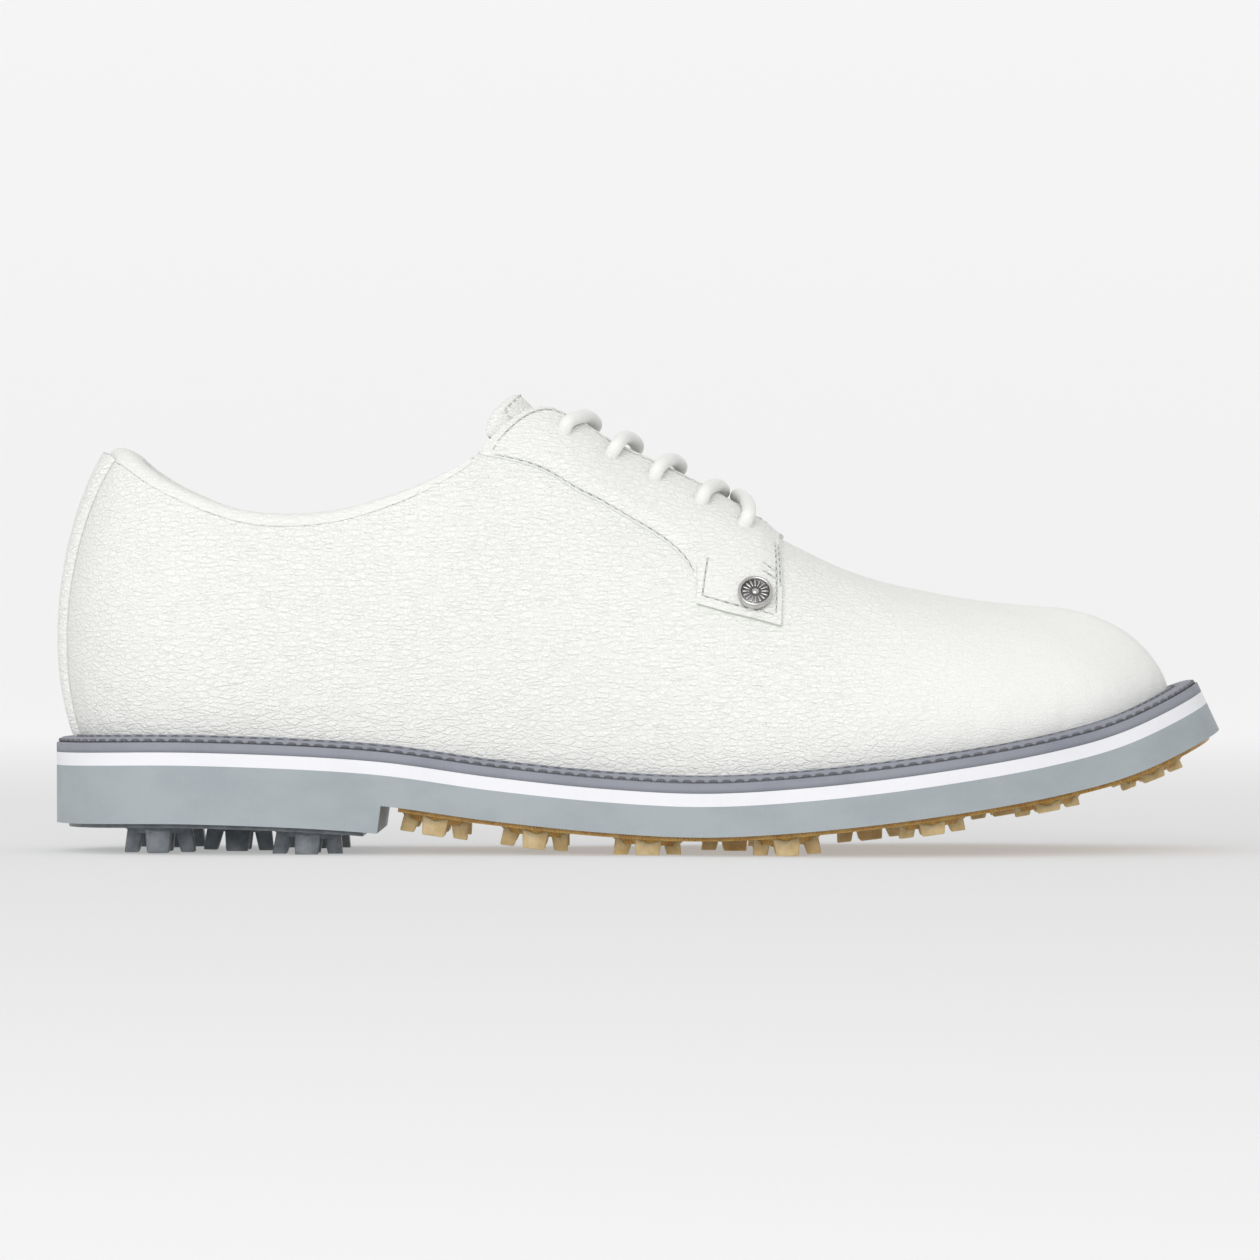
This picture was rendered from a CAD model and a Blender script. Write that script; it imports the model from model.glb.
"""White golf shoe: the pieces that are seen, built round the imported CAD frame.

Shapes are worked out in millimetres counted from the heel back, as in the CAD source, and
add_mesh() turns them into metres in the row frame.
"""
import math

import bmesh
import bpy
import numpy as np
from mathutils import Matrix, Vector


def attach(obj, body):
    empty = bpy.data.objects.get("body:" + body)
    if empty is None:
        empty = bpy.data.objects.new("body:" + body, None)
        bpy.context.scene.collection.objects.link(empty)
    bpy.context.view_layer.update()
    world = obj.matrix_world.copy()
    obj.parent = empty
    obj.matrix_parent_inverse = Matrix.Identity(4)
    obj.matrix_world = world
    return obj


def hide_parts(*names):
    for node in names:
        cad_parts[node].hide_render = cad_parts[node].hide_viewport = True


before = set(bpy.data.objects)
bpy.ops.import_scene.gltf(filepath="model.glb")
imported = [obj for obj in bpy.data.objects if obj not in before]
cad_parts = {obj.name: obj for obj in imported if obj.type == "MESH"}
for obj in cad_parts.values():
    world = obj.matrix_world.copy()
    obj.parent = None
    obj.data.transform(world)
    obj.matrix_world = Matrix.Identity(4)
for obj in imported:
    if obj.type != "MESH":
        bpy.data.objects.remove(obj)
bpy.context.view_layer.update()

MM = 0.001
ORIGIN = np.array([153.68, 0.87, 0.0])   # middle of the footprint, from the heel back and the foot's line

# ---------------------------------------------------------------- driving dimensions (mm)

LEATHER = 1.8
LINING = 1.0
FIT_GAP = 0.6
STIFFENER_OUT = -(LEATHER + FIT_GAP)
LINING_OUT = STIFFENER_OUT - 0.8 - FIT_GAP
FACING_FULL = 2.2            # height of the facings over the upper, near the lace
FACING_EDGE = 0.6            # and where they are skived, at their lower and front edges
SKIVE = 6.0
TAB_EDGE = 1.3               # thickness the tab keeps at its lower edge
HEEL_STRIP = 1.1
THROAT_HALF = 7              # half width of the gap between the facings
THROAT_BACK = 100
THROAT_FRONT = 186
LINING_THROAT_HALF = 26      # the vamp lining stops further out
LACE_RADIUS = 1.8

WELT = 3.95                  # sole layers meet face to face
MIDSOLE_BOTTOM = 7.3
OUTSOLE_BOTTOM = 15.1
HEEL_BOTTOM = 22.3
HEEL_BREAST = 89
FOREFOOT_PLATE = (94, 15.1, 16.2)
HEEL_PLATE = (85, 22.3, 23.4)
PLATE_INSET = 3
FEATHER_FLANGE = 12          # leather turned in under the insole
WELT_STITCH = 3.4            # pitch of the welt stitching

WELT_TOP_LINE = [
    (-12, 29.8), (2, 29.8), (40, 30.1), (86, 27.9), (117, 23.8), (145, 21),
    (170, 19.9), (196, 21.4), (228, 25.2), (258, 30.3), (276, 35), (299, 45.1), (312, 51.5),
]
SOLE_OUTLINE = np.array([
    (1.5, 0), (7, -20), (22, -33), (50, -38.5), (88, -38), (120, -39.5), (150, -44), (180, -50.5),
    (206, -53.5), (231, -52.5), (256, -46), (279, -34.5), (294, -18),
    (299.5, 3),
    (294.5, 23), (280, 38.5), (257, 50), (231, 55.3), (206, 53), (180, 45), (150, 36.5),
    (120, 32.5), (88, 34), (50, 37.5), (22, 32.5), (7, 20),
], float)
FEATHER_OUTLINE = np.array([
    (8, 0), (13, -17), (30, -29.5), (57, -33.5), (86, -34), (112, -34.5), (134, -36.5), (157, -40),
    (181, -45.5), (206, -47.8), (231, -46), (257, -38.5), (280, -23.5),
    (292.7, 3),
    (281, 28.5), (258, 43.5), (231, 49.5), (206, 47), (181, 39.5), (157, 32.5),
    (134, 28.5), (112, 27.5), (86, 29.5), (57, 32.5), (30, 29), (13, 17),
], float)

# Each meridian of the upper: end of the top line, [out, up] of the wall, [forward, out, up] of the crown.
STATIONS = [
    ((15.5, 0, 103.6), (9, 20), (-12, 0, -20)),
    ((19.5, 14, 101.5), (7.5, 20), (-8, 6, -20)),
    ((32, 23.5, 93.6), (6, 19), (-3, 6.5, -18)),
    ((52, 27.5, 86.2), (4.5, 18), (0, 5.5, -17)),
    ((73, 28.5, 86), (4, 18), (0, 5.5, -17)),
    ((92, 26.5, 91.5), (4, 20), (2, 8, -20)),
    ((108, 23.5, 99.8), (4.5, 24), (3, 10, -20)),
    ((127, 9, 113.8), (5, 28), (6, 18, -10)),
    ((146, 0, 106.4), (6, 27), (8, 22, -3.8)),
    ((167, 0, 95.9), (7, 24), (9, 25, -5)),
    ((188, 0, 83), (7, 20), (9, 29, -4.8)),
    ((211, 0, 72.3), (6, 16), (10, 32, -3.3)),
    ((240, 0, 65.9), (4, 13), (13, 20, -2)),
    ((262, 0, 64.6), (1.5, 9), (19, 0, -2.2)),
]
TOE_STATION = len(STATIONS) - 1
STATION_COUNT = 2 * TOE_STATION

# ---------------------------------------------------------------- curves


def catmull(points, t, closed=False, power=0.0):
    """Catmull-Rom through points at t from 0 to 1; power 0 is uniform, 0.25 centripetal."""
    points = np.asarray(points, float)
    count = len(points)
    t = np.asarray(t, float)
    if closed:
        place = (t % 1.0) * count
        i = np.floor(place).astype(int)
        p0, p1, p2, p3 = (points[(i + k) % count] for k in (-1, 0, 1, 2))
    else:
        place = np.clip(t, 0, 1) * (count - 1)
        i = np.minimum(np.floor(place).astype(int), count - 2)
        padded = np.vstack([2 * points[0] - points[1], points, 2 * points[-1] - points[-2]])
        p0, p1, p2, p3 = (padded[i + k] for k in (0, 1, 2, 3))
    w = (place - i)[..., None]
    if power:
        d0, d1, d2 = (((b - a) ** 2).sum(-1, keepdims=True) ** power
                      for a, b in ((p0, p1), (p1, p2), (p2, p3)))
        m1 = ((p1 - p0) / d0 - (p2 - p0) / (d0 + d1) + (p2 - p1) / d1) * d1
        m2 = ((p2 - p1) / d1 - (p3 - p1) / (d1 + d2) + (p3 - p2) / d2) * d1
    else:
        m1 = 0.5 * (p2 - p0)
        m2 = 0.5 * (p3 - p1)
    return (p1 + m1 * w + (-3 * p1 + 3 * p2 - 2 * m1 - m2) * w ** 2
            + (2 * p1 - 2 * p2 + m1 + m2) * w ** 3)


def unit(v):
    return v / np.maximum(np.linalg.norm(v, axis=-1, keepdims=True), 1e-9)


def smoothstep(x, low, high):
    t = np.clip((np.asarray(x, float) - low) / (high - low), 0, 1)
    return t * t * (3 - 2 * t)


def polyline_at(points, distances):
    """Points at given distances along a polyline."""
    points = np.asarray(points, float)
    lengths = np.r_[0, np.cumsum(np.linalg.norm(np.diff(points, axis=0), axis=1))]
    return np.stack([np.interp(distances, lengths, points[:, k]) for k in range(points.shape[1])], -1)


def path_length(points):
    return float(np.linalg.norm(np.diff(np.asarray(points, float), axis=0), axis=1).sum())


# ---------------------------------------------------------------- sole surface

_line = catmull(WELT_TOP_LINE, np.linspace(0, 1, 601), power=0.25)
_slope = np.gradient(_line[:, 1], _line[:, 0])


def sole_points(x, y, h):
    """Points at length x, width y and height h over the welt's top, along the sole's normal."""
    x, y, h = np.broadcast_arrays(*(np.asarray(a, float) for a in (x, y, h)))
    z = np.interp(x, _line[:, 0], _line[:, 1])
    slope = np.interp(x, _line[:, 0], _slope)
    length = np.hypot(1, slope)
    return np.stack([x - h * slope / length, y, z + h / length], -1)


def outline_at(outline, u):
    return catmull(outline, u, closed=True)


def outline_normal(outline, u):
    """Outward direction in plan."""
    step = 1e-4
    tangent = outline_at(outline, u + step) - outline_at(outline, u - step)
    return unit(np.stack([tangent[..., 1], -tangent[..., 0]], -1))


def inset_outline(outline, inset, samples=800):
    u = np.arange(samples) / samples
    return outline_at(outline, u) - inset * outline_normal(outline, u)


def half_widths(outline, inset, x):
    """Lateral and medial width of an outline at lengths x."""
    ring = inset_outline(outline, inset)
    half = len(ring) // 2
    lateral = ring[:half + 1]
    medial = np.vstack([ring[half:], ring[:1]])[::-1]
    widths = []
    for side in (lateral, medial):
        order = np.maximum.accumulate(side[:, 0])
        widths.append(np.interp(x, order, side[:, 1]))
    return widths


# ---------------------------------------------------------------- upper surface

def _rails():
    rails = [[], [], [], []]
    for k in range(STATION_COUNT):
        medial = k > TOE_STATION
        top, wall, crown = STATIONS[STATION_COUNT - k if medial else k]
        side = 1 if medial else -1
        x, y = FEATHER_OUTLINE[k]
        feather = sole_points(x, y, 0)
        out = outline_normal(FEATHER_OUTLINE, np.array(k / STATION_COUNT))
        top_point = np.array([top[0], side * top[1], top[2]], float)
        wall_point = feather + np.array([out[0] * wall[0], out[1] * wall[0], wall[1]])
        wall_point[0] += 0.12 * (top[0] - x)
        crown_point = top_point + np.array([crown[0], side * crown[1], crown[2]])
        for rail, point in zip(rails, (feather, wall_point, crown_point, top_point)):
            rail.append(point)
    return [np.array(rail) for rail in rails]


RAILS = _rails()
RIDGE_BLEND = 7.0            # half width over which the two sides meet in one round ridge


def last_points(u, v):
    """The last's surface: u runs round the shoe from the heel back, v climbs from feather to top."""
    u, v = np.broadcast_arrays(np.asarray(u, float), np.asarray(v, float))
    p0, p1, p2, p3 = (catmull(rail, u, closed=True) for rail in RAILS)
    w = v[..., None]
    point = p0 * (1 - w) ** 3 + 3 * p1 * w * (1 - w) ** 2 + 3 * p2 * w ** 2 * (1 - w) + p3 * w ** 3
    fall = (p3[..., 2] - p2[..., 2]) / np.maximum(np.abs(p2[..., 1] - p3[..., 1]), 8)
    near = np.clip(RIDGE_BLEND - np.abs(point[..., 1]), 0, None) * (p3[..., 0] > THROAT_BACK)
    point[..., 2] -= fall * near ** 2 / (2 * RIDGE_BLEND)
    return point


def last_normals(u, v):
    step = 1e-3
    u, v = np.broadcast_arrays(np.asarray(u, float), np.asarray(v, float))
    height = np.minimum(v, 1 - 4 * step)
    along = last_points(u + step, height) - last_points(u - step, height)
    up = last_points(u, height + step) - last_points(u, height - step)
    return unit(np.cross(along, up))


def upper_points(u, v, offset):
    u, v, offset = np.broadcast_arrays(*(np.asarray(a, float) for a in (u, v, offset)))
    return last_points(u, v) + last_normals(u, v) * offset[..., None]


def throat_half(x, half=THROAT_HALF):
    round_start = THROAT_FRONT - THROAT_HALF
    rounded = half * np.sqrt(np.clip(1 - ((x - round_start) / THROAT_HALF) ** 2, 0, 1))
    width = np.where(x <= round_start, half, rounded)
    return np.where((x <= THROAT_BACK) | (x >= THROAT_FRONT), 0.0, width)


def edge_v(u, half=THROAT_HALF):
    """Where a meridian stops: at the top line, or at the throat's edge."""
    u = np.asarray(u, float)
    top = last_points(u, np.ones_like(u))
    open_half = throat_half(top[..., 0], half)
    cut = (open_half > 0) & (np.abs(top[..., 1]) < open_half)
    low = np.full_like(u, 0.5)
    high = np.ones_like(u)
    for _ in range(30):
        middle = (low + high) / 2
        outside = np.abs(last_points(u, middle)[..., 1]) > open_half
        low = np.where(outside, middle, low)
        high = np.where(outside, high, middle)
    return np.where(cut, low, 1.0)


def is_open(u):
    u = np.asarray(u, float)
    top = last_points(u, np.ones_like(u))
    return (top[..., 0] < THROAT_BACK) | (np.abs(top[..., 1]) > 0.01) | (throat_half(top[..., 0]) > 0)


def u_at_top(x):
    """The u of the lateral meridian that ends over a length x."""
    low, high = 0.0, 0.5
    for _ in range(40):
        middle = (low + high) / 2
        if last_points(middle, 1.0)[0] < x:
            low = middle
        else:
            high = middle
    return low


def uv_seen_at(x, z):
    """The lateral surface point that is seen from the side at a length x and a height z."""
    best = np.array([0.35, 0.6])
    step = 0.08
    moves = np.array([(1, 0), (-1, 0), (0, 1), (0, -1), (1, 1), (-1, -1), (1, -1), (-1, 1)], float)

    def miss(uv):
        point = last_points(uv[..., 0], uv[..., 1])
        return np.hypot(point[..., 0] - x, point[..., 2] - z)

    while step > 1e-5:
        around = best + moves * (step / 3, step)
        around[:, 1] = np.minimum(around[:, 1], 1)
        scores = miss(around)
        if scores.min() < miss(best):
            best = around[scores.argmin()]
        else:
            step /= 2
    return best


# ---------------------------------------------------------------- relief in the geometry

def _hash(cells, seed):
    """Numbers from 0 to 1, the same each run, for whole-numbered cells."""
    mixed = cells @ np.array([374761393, 668265263, 2147483647]) + seed * 144269
    mixed = (mixed ^ (mixed >> 13)) * 1274126177
    return ((mixed ^ (mixed >> 16)) & 0xFFFF) / 65535.0


def value_noise(points, cell, seed=1):
    """Smooth noise from -1 to 1 with features about one cell (mm) wide."""
    scaled = points / np.asarray(cell, float)
    base = np.floor(scaled).astype(np.int64)
    w = scaled - base
    w = w * w * (3 - 2 * w)
    total = 0
    for corner in np.ndindex(2, 2, 2):
        share = np.prod([w[..., k] if corner[k] else 1 - w[..., k] for k in range(3)], axis=0)
        total = total + share * _hash(base + np.array(corner), seed)
    return 2 * total - 1


def leather_relief(points):
    """Stretch wrinkles of the upper: long along the side, upright by the welt at heel and toe."""
    x, z = points[..., 0], points[..., 2]
    toe = smoothstep(x, 195, 250)
    heel = 1 - smoothstep(x, 20, 60)
    welt_line = np.interp(x, _line[:, 0], _line[:, 1])
    low = 1 - smoothstep(z - welt_line, 4, 16)
    side = value_noise(points, (9, 6, 3.2), 3) + 0.6 * value_noise(points, (5, 4, 2.0), 5)
    upright = value_noise(points, (2.6, 2.6, 11), 7)
    return (0.11 * side * (1 - 0.75 * toe) * (1 - 0.4 * heel)
            + 0.16 * upright * low * np.maximum(heel, toe))


# ---------------------------------------------------------------- meshes

def add_mesh(name, points, faces, materials, face_materials=None, smooth=True):
    mesh = bpy.data.meshes.new(name)
    metres = (np.asarray(points, float).reshape(-1, 3) - ORIGIN) * MM
    mesh.from_pydata(metres.tolist(), [], [list(map(int, face)) for face in faces])
    for material in materials:
        mesh.materials.append(material)
    if face_materials is not None:
        mesh.polygons.foreach_set("material_index", np.asarray(face_materials, np.int32))
    mesh.polygons.foreach_set("use_smooth", np.full(len(mesh.polygons), smooth))
    mesh.update()
    piece = bpy.data.objects.new(name, mesh)
    bpy.context.scene.collection.objects.link(piece)
    return piece


def grid_faces(columns, rows, start=0, wrap=False, flip=False, close=False):
    """Quads over points stored column by column; wrap joins the end columns, close the end rows."""
    i = np.arange(columns if wrap else columns - 1)[:, None]
    j = np.arange(rows if close else rows - 1)[None, :]
    next_i = (i + 1) % columns
    next_j = (j + 1) % rows
    corners = (i * rows + j, next_i * rows + j, next_i * rows + next_j, i * rows + next_j)
    quads = np.stack(np.broadcast_arrays(*corners), -1).reshape(-1, 4)
    return start + (quads[:, ::-1] if flip else quads)


def ring_faces(rings, sides, flip=False):
    """Quads along closed rings of points, with a flat cap on each end."""
    first = tuple(range(sides))
    last = tuple((rings - 1) * sides + k for k in first)
    caps = [first[::-1], last] if flip else [first, last[::-1]]
    return grid_faces(rings, sides, close=True, flip=flip).tolist() + caps


def shell(outer, inner, wrap=False, open_top=None):
    """Points, faces and kind of face (0 outer, 1 inner, 2 rim) of a sheet with thickness."""
    columns, rows = outer.shape[:2]
    count = columns * rows
    parts = [(grid_faces(columns, rows, 0, wrap), 0), (grid_faces(columns, rows, count, wrap, True), 1)]
    i = np.arange(columns if wrap else columns - 1)
    nxt = (i + 1) % columns

    def rim(a, b):
        return np.stack([a, b, b + count, a + count], -1)

    parts.append((rim(nxt * rows, i * rows), 2))
    top_i = i if open_top is None else i[open_top]
    top_n = nxt if open_top is None else nxt[open_top]
    parts.append((rim(top_i * rows + rows - 1, top_n * rows + rows - 1), 2))
    if not wrap:
        j = np.arange(rows - 1)
        last = (columns - 1) * rows
        parts.append((rim(j, j + 1), 2))
        parts.append((rim(last + j + 1, last + j), 2))
    faces = np.vstack([part for part, _ in parts])
    kinds = np.concatenate([np.full(len(part), kind) for part, kind in parts])
    points = np.vstack([outer.reshape(-1, 3), inner.reshape(-1, 3)])
    return points, faces, kinds


def weld(piece, distance=0.06):
    mesh = bmesh.new()
    mesh.from_mesh(piece.data)
    bmesh.ops.remove_doubles(mesh, verts=mesh.verts, dist=distance * MM)
    mesh.to_mesh(piece.data)
    mesh.free()


def bevel(piece, width, segments=2, angle=35):
    modifier = piece.modifiers.new("rounded_edges", "BEVEL")
    modifier.width = width * MM
    modifier.segments = segments
    modifier.limit_method = "ANGLE"
    modifier.angle_limit = math.radians(angle)
    modifier.harden_normals = True
    return piece


def settle(piece, body, slot, *nodes):
    """Every piece rides on a body, takes a finish, and may stand for CAD nodes."""
    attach(piece, body)
    if nodes:
        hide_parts(*nodes)
    return piece


def tube(centres, radius, sides=12, start_up=(0.0, 1.0, 0.0)):
    """Points and faces of a round tube along centres, its rings carried on without twist."""
    centres = np.asarray(centres, float)
    count = len(centres)
    radii = np.broadcast_to(np.asarray(radius, float), (count,))
    tangents = unit(np.gradient(centres, axis=0))
    side = unit(np.cross(tangents[0], start_up))
    rings = []
    angles = 2 * np.pi * np.arange(sides) / sides
    for k in range(count):
        side = unit(side - tangents[k] * (side @ tangents[k]))
        other = np.cross(tangents[k], side)
        ring = np.cos(angles)[:, None] * side + np.sin(angles)[:, None] * other
        rings.append(centres[k] + radii[k] * ring)
    points = np.array(rings).reshape(-1, 3)
    return points, ring_faces(count, sides, flip=True)


def join_parts(parts):
    """One list of points and faces from several."""
    points, faces, start = [], [], 0
    for part_points, part_faces in parts:
        points.append(np.asarray(part_points).reshape(-1, 3))
        faces.extend([tuple(start + i for i in face) for face in part_faces])
        start += len(points[-1])
    return np.vstack(points), faces


def stitch_parts(path, normals, pitch, length, radius, lift=0.12):
    """Separate short stitches along a path, each a thread that rises and dips at its ends."""
    total = path_length(path)
    count = max(int(total / pitch), 1)
    distance = np.r_[0, np.cumsum(np.linalg.norm(np.diff(path, axis=0), axis=1))]
    parts = []
    for k in range(count):
        middle = (k + 0.5) * total / count
        t = np.linspace(-0.5, 0.5, 7)
        at = middle + t * length
        centre = np.stack([np.interp(at, distance, path[:, a]) for a in range(3)], -1)
        up = np.stack([np.interp(at, distance, normals[:, a]) for a in range(3)], -1)
        rise = lift * 2 * (1 - (2 * t) ** 4) - lift
        radii = radius * (1 - 0.55 * np.abs(2 * t) ** 5)
        parts.append(tube(centre + up * rise[:, None], radii, sides=6, start_up=up[0]))
    return parts


def ribbon_parts(path, normals, width, height):
    """A narrow band along a path, a little crowned: a needle mark or a sewn channel."""
    tangents = unit(np.gradient(path, axis=0))
    across = unit(np.cross(tangents, normals))
    profile = [(-0.5, -0.3), (-0.5, 0.0), (0.0, 0.25), (0.5, 0.0), (0.5, -0.3)]
    rings = np.stack([path + across * (a * width) + normals * (b * height) for a, b in profile], 1)
    return rings.reshape(-1, 3), ring_faces(*rings.shape[:2])


# ---------------------------------------------------------------- materials

class Shader:
    """A small builder of node materials: add() makes a node, values are numbers or other nodes' outputs."""

    def __init__(self, name):
        self.material = bpy.data.materials.new(name)
        self.material.use_nodes = True
        self.tree = self.material.node_tree
        self.tree.nodes.clear()
        self.out = self.tree.nodes.new("ShaderNodeOutputMaterial")
        self.surface = self.tree.nodes.new("ShaderNodeBsdfPrincipled")
        self.tree.links.new(self.surface.outputs[0], self.out.inputs["Surface"])
        self.coords = self.tree.nodes.new("ShaderNodeTexCoord").outputs["Object"]

    def put(self, socket, value):
        if isinstance(value, bpy.types.NodeSocket):
            self.tree.links.new(value, socket)
        elif socket.type == "RGBA" and len(value) == 3:
            socket.default_value = (*value, 1.0)
        else:
            socket.default_value = value

    def add(self, kind, out=0, props=None, **inputs):
        node = self.tree.nodes.new("ShaderNode" + kind)
        for key, value in (props or {}).items():
            setattr(node, key, value)
        for key, value in inputs.items():
            index = int(key[1:]) if key[0] == "i" and key[1:].isdigit() else key.replace("_", " ")
            self.put(node.inputs[index], value)
        return node.outputs[out]

    def math(self, operation, a, b=0.0):
        return self.add("Math", props={"operation": operation}, i0=a, i1=b)

    def scaled(self, x, y, z):
        """Object coordinates times the given numbers per millimetre."""
        return self.add("Mapping", Vector=self.coords, Scale=(x / MM, y / MM, z / MM))

    def noise(self, vector, scale, detail=3.0, roughness=0.55):
        return self.add("TexNoise", 0, Vector=vector, Scale=scale, Detail=detail, Roughness=roughness)

    def cells(self, vector, scale, feature="DISTANCE_TO_EDGE", randomness=1.0):
        return self.add("TexVoronoi", 0, {"feature": feature}, Vector=vector, Scale=scale,
                        Randomness=randomness)

    def span(self, value, low, high, to_low=0.0, to_high=1.0):
        """Smooth map of a value from one range to another."""
        return self.add("MapRange", 0, {"interpolation_type": "SMOOTHSTEP"}, Value=value,
                        i1=low, i2=high, i3=to_low, i4=to_high)

    def blend(self, factor, a, b):
        node = self.tree.nodes.new("ShaderNodeMix")
        node.data_type = "RGBA"
        self.put(node.inputs[0], factor)
        self.put(node.inputs[6], a)
        self.put(node.inputs[7], b)
        return node.outputs[2]

    def warp(self, vector, noise_scale, amount):
        """A vector pushed about by noise, so that no cell edge is straight."""
        colour = self.add("TexNoise", 1, Vector=vector, Scale=noise_scale, Detail=2.0)
        return self.add("VectorMath", 0, {"operation": "MULTIPLY_ADD"},
                        i0=colour, i1=(amount,) * 3, i2=vector)

    def bump(self, height, depth, strength=1.0):
        """Bump of a height from 0 to 1 that stands for a depth in millimetres."""
        normal = self.add("Bump", 0, Strength=strength, Distance=depth * MM, Height=height)
        self.put(self.surface.inputs["Normal"], normal)

    def finish(self, colour, roughness, **settings):
        self.put(self.surface.inputs["Base Color"], colour)
        self.put(self.surface.inputs["Roughness"], roughness)
        for key, value in settings.items():
            self.put(self.surface.inputs[key.replace("_", " ")], value)
        return self.material


def pebbled_leather(name, tint=(0.90, 0.905, 0.875), shade=(0.74, 0.75, 0.715), depth=0.24):
    """Tumbled full-grain leather: long pebbles on the side, finer and flatter over the toe."""
    s = Shader(name)
    x = s.add("SeparateXYZ", 0, Vector=s.coords)
    toe = s.span(x, 0.035, 0.11)
    long_cells = s.warp(s.scaled(0.30, 0.5, 0.78), 0.9, 0.5)
    broad = s.span(s.cells(long_cells, 1.0), 0.0, 0.2)
    small_cells = s.warp(s.scaled(0.9, 1.1, 1.35), 1.6, 0.35)
    small = s.span(s.cells(small_cells, 1.0), 0.0, 0.16)
    pores = s.noise(s.scaled(4.5, 4.5, 4.5), 1.0, 2.0, 0.6)
    swell = s.noise(s.scaled(0.16, 0.2, 0.3), 1.0, 2.0, 0.5)
    broad_share = s.add("MapRange", 0, Value=toe, i1=0.0, i2=1.0, i3=0.62, i4=0.10)
    small_share = s.add("MapRange", 0, Value=toe, i1=0.0, i2=1.0, i3=0.30, i4=0.20)
    height = s.math("MULTIPLY", broad, broad_share)
    height = s.math("ADD", height, s.math("MULTIPLY", small, small_share))
    height = s.math("ADD", height, s.math("MULTIPLY", pores, 0.14))
    height = s.math("ADD", height, s.math("MULTIPLY", swell, 0.9))
    s.bump(height, depth)
    crease = s.math("MULTIPLY", broad, small)
    flatter = s.math("SUBTRACT", 1.0, s.math("MULTIPLY", toe, 0.7))
    crease = s.math("MULTIPLY", s.math("SUBTRACT", 1.0, crease), flatter)
    colour = s.blend(s.math("MULTIPLY", crease, 0.36), tint, shade)
    warm = s.noise(s.scaled(0.03, 0.03, 0.03), 1.0, 2.0)
    colour = s.blend(s.span(warm, 0.35, 0.75, 0.0, 0.25), colour, (0.90, 0.895, 0.855))
    rough = s.math("ADD", s.math("MULTIPLY", crease, 0.14), s.span(pores, 0.3, 0.7, 0.44, 0.54))
    return s.finish(colour, rough, Specular_IOR_Level=0.42)


def cut_edge(name, dark=(0.52, 0.57, 0.52), light=(0.70, 0.73, 0.68)):
    """Raw cut edge of leather: compressed fibres, pale grey-green unless painted."""
    s = Shader(name)
    fibre = s.noise(s.scaled(3, 3, 9), 1.0, 3.0, 0.7)
    s.bump(fibre, 0.12)
    colour = s.blend(s.span(fibre, 0.3, 0.7), dark, light)
    return s.finish(colour, 0.8)


def thread(name, light, dark, twist=1.6):
    s = Shader(name)
    ply = s.add("TexWave", 1, {"wave_type": "BANDS", "bands_direction": "DIAGONAL"},
                Vector=s.scaled(twist, twist, twist), Scale=1.0, Distortion=0.4, Detail=1.0)
    s.bump(ply, 0.08)
    return s.finish(s.blend(ply, dark, light), 0.7, Sheen_Weight=0.15)


def needle_channel(name, colour=(0.42, 0.44, 0.42)):
    s = Shader(name)
    grit = s.noise(s.scaled(2.5, 2.5, 2.5), 1.0)
    s.bump(grit, 0.06)
    return s.finish(s.blend(grit, tuple(0.75 * c for c in colour), colour), 0.85)


def woven_lining(name, light=(0.64, 0.655, 0.645), dark=(0.47, 0.48, 0.475), size=1.0):
    """Brushed textile: a plain weave under a soft nap."""
    s = Shader(name)
    warp_threads = s.add("TexWave", 1, {"wave_type": "BANDS", "bands_direction": "X"},
                         Vector=s.scaled(0.5 / size, 0.5 / size, 0.5 / size), Scale=1.0, Distortion=0.3)
    weft_threads = s.add("TexWave", 1, {"wave_type": "BANDS", "bands_direction": "Z"},
                         Vector=s.scaled(0.5 / size, 0.5 / size, 0.5 / size), Scale=1.0, Distortion=0.3)
    weave = s.math("MULTIPLY", warp_threads, weft_threads)
    nap = s.noise(s.scaled(2.2, 2.2, 2.2), 1.0, 4.0, 0.7)
    height = s.math("ADD", s.math("MULTIPLY", weave, 0.6), s.math("MULTIPLY", nap, 0.5))
    s.bump(height, 0.22)
    colour = s.blend(s.span(height, 0.2, 0.8), dark, light)
    return s.finish(colour, 0.9, Sheen_Weight=0.25, Sheen_Roughness=0.5)


def open_foam(name):
    s = Shader(name)
    pores = s.cells(s.scaled(1.2, 1.2, 1.2), 1.0, "F1")
    soft = s.noise(s.scaled(0.3, 0.3, 0.3), 1.0)
    s.bump(pores, 0.3)
    colour = s.blend(s.span(pores, 0.1, 0.6), (0.66, 0.68, 0.64), (0.42, 0.44, 0.41))
    return s.finish(s.blend(s.math("MULTIPLY", soft, 0.4), colour, (0.60, 0.60, 0.54)), 0.95)


def braided_cord(name):
    """Round waxed lace: a tight diagonal braid, hardly raised."""
    s = Shader(name)
    one = s.add("TexWave", 1, {"wave_type": "BANDS", "bands_direction": "DIAGONAL"},
                Vector=s.scaled(0.55, 0.55, 0.55), Scale=1.0, Distortion=0.6, Detail=1.0)
    other = s.add("TexWave", 1, {"wave_type": "BANDS", "bands_direction": "DIAGONAL"},
                  Vector=s.scaled(-0.55, 0.55, 0.55), Scale=1.0, Distortion=0.6, Detail=1.0)
    braid = s.math("MAXIMUM", one, other)
    fuzz = s.noise(s.scaled(3.5, 3.5, 3.5), 1.0, 3.0, 0.6)
    s.bump(s.math("ADD", s.math("MULTIPLY", braid, 0.5), s.math("MULTIPLY", fuzz, 0.4)), 0.12)
    colour = s.blend(s.math("MULTIPLY", braid, 0.5), (0.84, 0.84, 0.815), (0.90, 0.90, 0.88))
    return s.finish(colour, 0.55, Sheen_Weight=0.2, Sheen_Roughness=0.4)


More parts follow.
